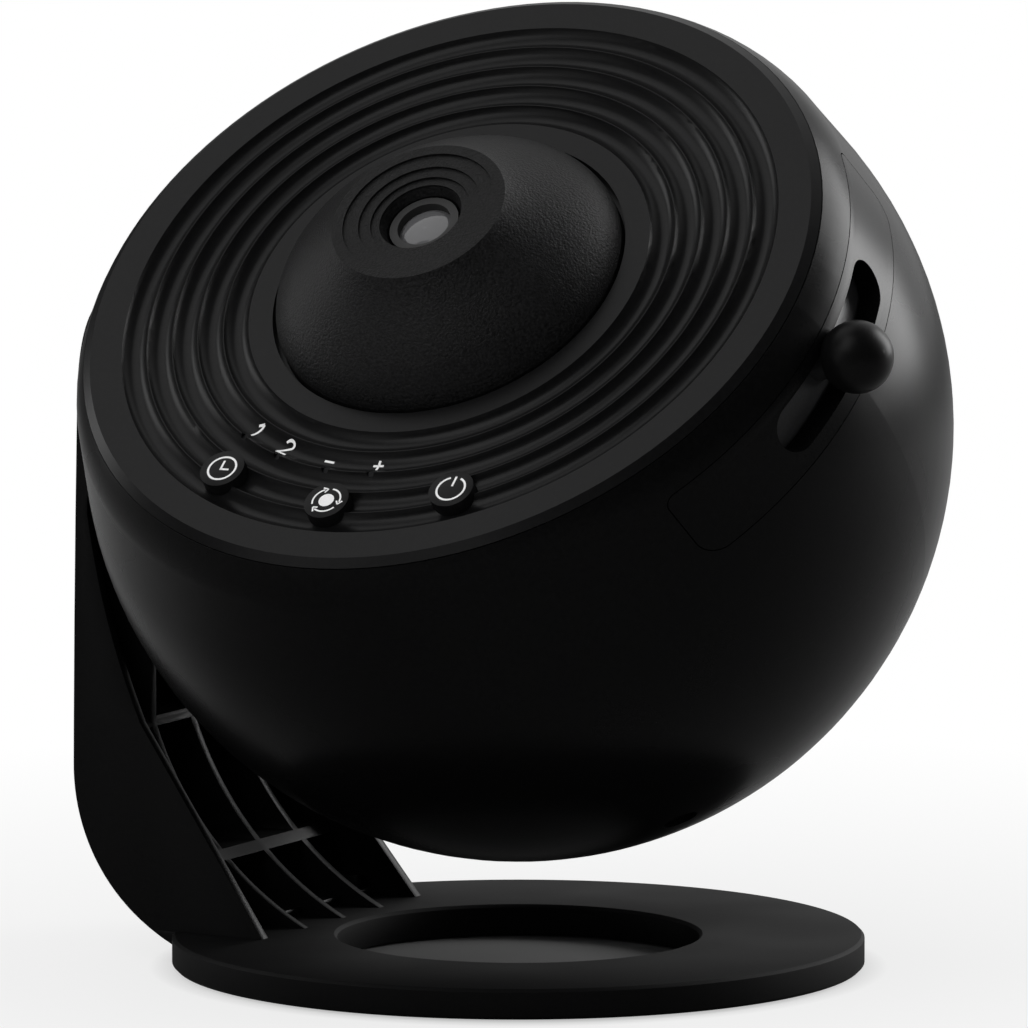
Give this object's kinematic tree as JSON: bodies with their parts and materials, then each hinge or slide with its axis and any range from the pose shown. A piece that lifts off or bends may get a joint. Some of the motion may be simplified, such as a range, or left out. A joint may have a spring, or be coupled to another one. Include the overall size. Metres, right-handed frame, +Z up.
{
  "type": "home planetarium projector",
  "caption": "Ball-shaped star projector that tilts on a one-armed stand over a ring base, with a grooved face, lens hood, push buttons and a focus knob.",
  "frame": {"origin": "middle of the ring base, in the plane its foot pads rest on", "axes": "+Z up, X along the tilt pivot with the arm at -X and the focus knob at +X, the face of the ball looks up and towards -Y"},
  "size_m": [0.1789, 0.1642, 0.1816],
  "materials": {
    "stand_plastic": "fine even grain, satin",
    "ball_plastic": "fine even grain, satin",
    "cover_plastic": "smooth satin",
    "face_plastic": "fine even grain, satin",
    "hood_plastic": "fine even grain, satin",
    "button_plastic": "satin with printed symbols",
    "knob_plastic": "polished",
    "inner_plastic": "dull black",
    "inlet_plastic": "dull black",
    "gear_plastic": "natural, slippery",
    "rubber": "dull",
    "silicone": "dull, soft",
    "weight_steel": "plain sheet",
    "screw_steel": "zinc plated",
    "shaft_steel": "turned",
    "sink_aluminium": "extruded",
    "board_green": "lacquered board",
    "lamp_white": "white lacquer",
    "lamp_yellow": "clear dome over a yellow layer",
    "lens_glass": "polished and coated",
    "guide_clear": "clear, frosted",
    "film_ink": "printed film"
  },
  "bodies": {
    "stand": {"base_ring": "stand_plastic", "base_weight": "weight_steel", "base_cover": "stand_plastic", "base_screws": "screw_steel", "foot_pads": "rubber", "stand_arm": "stand_plastic", "arm_screws": "screw_steel", "pivot_bush": "gear_plastic", "friction_washer": "shaft_steel", "pivot_cap": "stand_plastic"},
    "ball": {"ball_shell": "ball_plastic", "face_panel": "face_plastic", "panel_screws": "screw_steel", "side_cover": "cover_plastic", "rear_cover": "ball_plastic", "rear_cover_screws": "screw_steel", "pivot_shaft": "shaft_steel", "hub_screws": "screw_steel", "shaft_washer": "shaft_steel", "shaft_screw": "screw_steel", "power_inlet": "inlet_plastic", "main_board": "board_green", "main_board_screws": "screw_steel", "optics_frame": "inner_plastic", "frame_screws": "screw_steel", "heat_sink": "sink_aluminium", "sink_screws": "screw_steel", "lamp_board": "lamp_white", "lamp_emitter": "lamp_yellow", "condenser_holder": "inner_plastic", "condenser_lens": "lens_glass", "lens_housing": "inner_plastic", "housing_screws": "screw_steel", "focus_clip": "shaft_steel", "drive_motor": "shaft_steel", "motor_screws": "screw_steel", "button_board": "board_green", "button_board_screws": "screw_steel", "button_domes": "silicone", "indicator_guides": "guide_clear"},
    "hood": {"lens_hood": "hood_plastic"},
    "timer_key": {"timer_button": "button_plastic"},
    "rotate_key": {"rotate_button": "button_plastic"},
    "power_key": {"power_button": "button_plastic"},
    "focus": {"focus_ring": "inner_plastic", "focus_knob": "knob_plastic"},
    "lens": {"lens_barrel": "inner_plastic", "cam_pin": "screw_steel", "front_lens": "lens_glass", "front_retainer": "inner_plastic", "rear_lens": "lens_glass", "rear_retainer": "inner_plastic"},
    "disc": {"disc_carrier": "gear_plastic", "film_disc": "film_ink", "disc_clip": "gear_plastic"},
    "pinion": {"motor_pinion": "gear_plastic", "motor_shaft": "shaft_steel"}
  },
  "joints": [
    {"name": "ball_tilt", "type": "hinge", "parent": "stand", "child": "ball", "pos_m": [0, 0, 0.1035], "axis": [1, 0, 0], "range_deg": [-130.6, 49.4]},
    {"name": "hood_pull", "type": "slide", "parent": "ball", "child": "hood", "axis": [0, -0.6508, 0.7593], "range_m": [0, 0.012]},
    {"name": "timer_press", "type": "slide", "parent": "ball", "child": "timer_key", "axis": [0, 0.6508, -0.7593], "range_m": [0, 0.0008], "stiffness_N_per_m": 1500, "springref_m": -0.0002},
    {"name": "rotate_press", "type": "slide", "parent": "ball", "child": "rotate_key", "axis": [0, 0.6508, -0.7593], "range_m": [0, 0.0008], "stiffness_N_per_m": 1500, "springref_m": -0.0002},
    {"name": "power_press", "type": "slide", "parent": "ball", "child": "power_key", "axis": [0, 0.6508, -0.7593], "range_m": [0, 0.0008], "stiffness_N_per_m": 1500, "springref_m": -0.0002},
    {"name": "focus_turn", "type": "hinge", "parent": "ball", "child": "focus", "pos_m": [0, 0, 0.1035], "axis": [0, -0.6508, 0.7593], "range_deg": [-13, 13]},
    {"name": "lens_slide", "type": "slide", "parent": "ball", "child": "lens", "axis": [0, -0.6508, 0.7593], "range_m": [-0.002, 0.002]},
    {"name": "disc_spin", "type": "hinge", "parent": "ball", "child": "disc", "pos_m": [0, 0, 0.1035], "axis": [0, -0.6508, 0.7593], "continuous": true},
    {"name": "pinion_spin", "type": "hinge", "parent": "ball", "child": "pinion", "pos_m": [-0.038, -0.0028, 0.10676], "axis": [0, -0.6508, 0.7593], "continuous": true}
  ],
  "couplings": [
    {"joint": "lens_slide", "follows": "focus_turn", "m_per_rad": 0.0088},
    {"joint": "pinion_spin", "follows": "disc_spin", "ratio": -5.3333}
  ]
}
